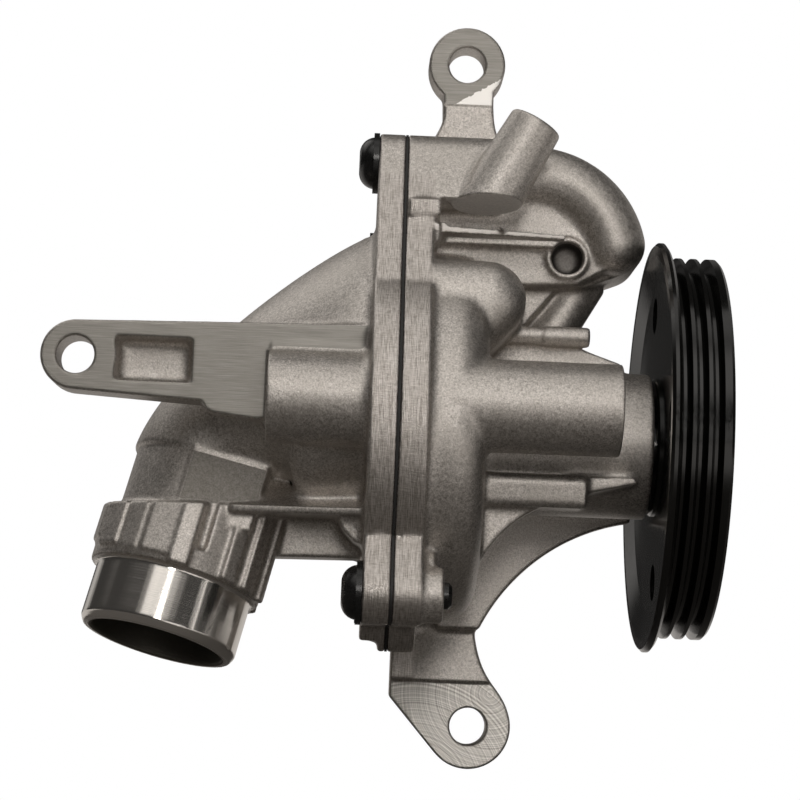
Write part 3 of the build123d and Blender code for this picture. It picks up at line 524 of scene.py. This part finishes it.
def cast_aluminium():
    """The material of both castings."""
    skin = CastSkin()
    skin.blasted()
    skin.dull_leg_panel()
    skin.cut_boss_face()
    skin.torn_fin()
    skin.dark_pocket()
    skin.filed_rims()
    skin.machined_faces()
    skin.spigot_and_pipe()
    relief = skin.bump(skin.height, 0.065, 0.8, skin.leaning_neck())
    return skin.finish(Base_Color=skin.colour, Metallic=skin.metallic, Roughness=skin.rough, Normal=relief)


def grey(value):
    """A neutral colour."""
    return (value, value, value)


def plain(name, dark, light, rough, metallic=0.0, scale=1.5, relief=0.01, stretch=None):
    """A finish with grain, uneven sheen and a fine relief."""
    g = Graph(name)
    p = g.millimetres()
    grain = g.noise(p, scale, 3.0, 0.6, stretch)
    wide = g.noise(p, 0.15, 2.0)
    tone = g.fit(g.plus(g.times(grain, 0.7), g.times(wide, 0.3)), 0.35, 0.65, 0, 1)
    return g.finish(
        Base_Color=g.mix(tone, dark, light),
        Metallic=metallic,
        Roughness=g.fit(g.plus(grain, wide), 0.7, 1.3, rough * 0.85, rough * 1.2),
        Normal=g.bump(grain, relief),
    )


FINISHES = {
    "gasket_black": dict(dark=grey(0.012), light=(0.03, 0.03, 0.028), rough=0.6, scale=3),
    "black_bolt": dict(dark=grey(0.008), light=grey(0.02), rough=0.24, metallic=0.3, scale=2.5),
    "dowel_steel": dict(dark=grey(0.45), light=grey(0.6), rough=0.3, metallic=1.0),
    "shaft_steel": dict(
        dark=grey(0.5), light=(0.62, 0.61, 0.6), rough=0.2, metallic=1.0, stretch=(6, 0.3, 0.3)
    ),
    "bearing_steel": dict(dark=grey(0.4), light=(0.55, 0.54, 0.53), rough=0.25, metallic=1.0),
    "ball_steel": dict(dark=grey(0.6), light=grey(0.7), rough=0.08, metallic=1.0, relief=0.001),
    "cage_polymer": dict(dark=(0.10, 0.08, 0.06), light=(0.16, 0.13, 0.1), rough=0.5),
    "seal_rubber": dict(dark=grey(0.02), light=grey(0.045), rough=0.6),
    "case_brass": dict(dark=(0.55, 0.42, 0.2), light=(0.7, 0.55, 0.28), rough=0.3, metallic=1.0),
    "spring_steel": dict(dark=grey(0.45), light=grey(0.6), rough=0.25, metallic=1.0, relief=0.003),
    "carbon_black": dict(dark=grey(0.03), light=grey(0.07), rough=0.35, metallic=0.1),
    "ceramic_white": dict(dark=(0.72, 0.70, 0.65), light=(0.85, 0.83, 0.78), rough=0.3, relief=0.004),
    "impeller_polymer": dict(dark=grey(0.03), light=grey(0.08), rough=0.45),
    "o_ring_green": dict(dark=(0.04, 0.10, 0.05), light=(0.08, 0.17, 0.1), rough=0.45),
}


def pulley_black():
    """Glossy black paint with fine rings from the turning under it and a little dust."""
    g = Graph("pulley_black")
    p = g.millimetres()
    along_shaft = g.add("SeparateXYZ", Vector=p).outputs[0]
    rings = g.noise(g.add("CombineXYZ", X=g.times(along_shaft, 4.0), Y=0.0, Z=0.0).outputs[0], 1.0, 3.0)
    peel = g.noise(p, 0.9, 2.0)
    dust = g.noise(p, 3.5, 2.0, 0.7)
    colour = g.mix(g.fit(dust, 0.55, 0.75, 0, 1), (0.0035, 0.0035, 0.003), (0.012, 0.012, 0.011))
    rough = g.fit(g.plus(peel, g.times(dust, 0.5)), 0.5, 1.0, 0.10, 0.20)
    height = g.plus(g.times(peel, 0.6), g.times(rings, 0.35))
    relief = g.bump(height, 0.008)
    return g.finish(Base_Color=colour, Metallic=0.0, Roughness=rough, Specular_IOR_Level=0.5, Normal=relief)


materials = {"cast_aluminium": cast_aluminium(), "pulley_black": pulley_black()}
for name, look in FINISHES.items():
    materials[name] = plain(name, **look)

# ---------------------------------------------------------------- pieces
for row in frame["record"]["subparts"]:
    mesh = frame["nodes"][row["node"]].data
    mesh.materials.clear()
    mesh.materials.append(materials[row["material_slot"]])

for node, build in (("front_housing", front_housing), ("rear_cover", rear_cover)):
    piece = build().mesh("cast_" + node)
    piece.data.materials.append(materials["cast_aluminium"])
    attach(piece, "body")
    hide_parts(node)

# ---------------------------------------------------------------- stage
FLOOR_Z = cad_box[0][2] - 0.0006
STAGE = 6.0
mesh = bpy.data.meshes.new("floor")
corners = [(x * STAGE, y * STAGE, FLOOR_Z) for x, y in ((-1, -1), (1, -1), (1, 1), (-1, 1))]
mesh.from_pydata(corners, [], [(0, 1, 2, 3)])
floor = bpy.data.objects.new("floor", mesh)
bpy.context.scene.collection.objects.link(floor)

g = Graph("floor_paper")
seen = g.add("LightPath").outputs["Is Camera Ray"]
paper = g.noise(g.millimetres(), 0.5, 2.0)
direct = g.add("Emission", Color=(1, 1, 1), Strength=1.0).outputs[0]
shade = g.mix(paper, (0.20, 0.19, 0.18), (0.23, 0.22, 0.21))
across, depth, _ = g.add("SeparateXYZ", Vector=g.millimetres()).outputs
behind = g.times(g.step(60.0, 160.0, depth), 2.2)
front_card = g.times(g.times(g.step(-150.0, -350.0, depth), g.step(-40.0, 80.0, across)), 4.2)
glow = g.add("Emission", Color=shade, Strength=g.plus(behind, front_card)).outputs[0]
bounce = g.add("AddShader")
g.plug(bounce, "0", g.add("BsdfDiffuse", Color=shade).outputs[0])
g.plug(bounce, "1", glow)
bounce = bounce.outputs[0]
choice = g.add("MixShader")
g.plug(choice, "0", seen)
g.plug(choice, "1", bounce)
g.plug(choice, "2", direct)
g.tree.links.new(choice.outputs[0], g.add("OutputMaterial").inputs[0])
mesh.materials.append(g.owner)

# ---------------------------------------------------------------- studio light: soft windows round the object
g = Graph("studio", world=True)
way = g.vector("NORMALIZE", g.add("TexCoord").outputs["Generated"])
dx, dy, dz = g.add("SeparateXYZ", Vector=way).outputs
azimuth = g.times(g.math("ARCTAN2", dx, g.times(dy, -1.0)), 180 / math.pi)
height = g.times(g.math("ARCSINE", dz), 180 / math.pi)


def window(az, el, half_az, half_el, soft):
    """A soft-edged rectangle of light at an azimuth from the camera's side and an elevation, in degrees."""
    off = g.math("ABSOLUTE", g.math("WRAP", g.plus(azimuth, -az), 180.0, -180.0))
    up = g.math("ABSOLUTE", g.plus(height, -el))
    side = g.step(half_az + soft, half_az - soft, off)
    return g.times(side, g.step(half_el + soft, half_el - soft, up))


WINDOWS = [
    # azimuth, elevation, half width, half height, softness, strength
    (0, 40, 26, 16, 8, 1.35),  # key light, above the camera
    (0, 74, 70, 14, 10, 0.9),  # ceiling
    (0, 14, 3.5, 7, 1.5, 12.0),  # small bright window, for the glints on paint and on the spigot
    (22, 4, 16, 4, 3, 1.0),  # low light from the right
    (-125, 50, 28, 18, 10, 1.1),  # high, behind on the left
    (53, 0, 2, 40, 1, 1.3),  # upright strip on the right
    (-48, 54, 20, 16, 8, 0.9),  # high on the left
    (-145, 0, 10, 25, 5, 0.45),  # dim, behind on the left
    (140, 15, 28, 25, 10, 0.3),  # dim, behind on the right
]
level = g.fit(height, -60.0, 90.0, 0.015, 0.05)
for az, el, half_az, half_el, soft, strength in WINDOWS:
    level = g.plus(level, g.times(window(az, el, half_az, half_el, soft), strength))
seen = g.add("LightPath").outputs["Is Camera Ray"]
lit = g.add("Background", Color=(1.0, 0.965, 0.925), Strength=level).outputs[0]
white = g.add("Background", Color=(1, 1, 1), Strength=1.0).outputs[0]
choice = g.add("MixShader")
g.plug(choice, "0", seen)
g.plug(choice, "1", lit)
g.plug(choice, "2", white)
g.tree.links.new(choice.outputs[0], g.add("OutputWorld").inputs[0])
bpy.context.scene.world = g.owner

# ---------------------------------------------------------------- camera
PITCH, YAW, ROLL, DISTANCE = math.radians(6.0), math.radians(1.0), math.radians(2.3), 0.595
target = Vector((0.0006, 0.0, 0.00884))
look = Vector((math.sin(YAW) * math.cos(PITCH), math.cos(YAW) * math.cos(PITCH), math.sin(PITCH)))
right = look.cross(Vector((0, 0, 1))).normalized()
up = right.cross(look)
turned_right = right * math.cos(ROLL) + up * math.sin(ROLL)
turned_up = up * math.cos(ROLL) - right * math.sin(ROLL)
camera = bpy.data.objects.new("camera", bpy.data.cameras.new("camera"))
bpy.context.scene.collection.objects.link(camera)
place = Matrix((turned_right, turned_up, -look)).transposed().to_4x4()
place.translation = target - look * DISTANCE
camera.matrix_world = place
camera.data.sensor_width = 36.0
camera.data.lens = 112.5
camera.data.clip_start = 0.01
bpy.context.scene.camera = camera
bpy.context.scene.view_settings.view_transform = "Standard"
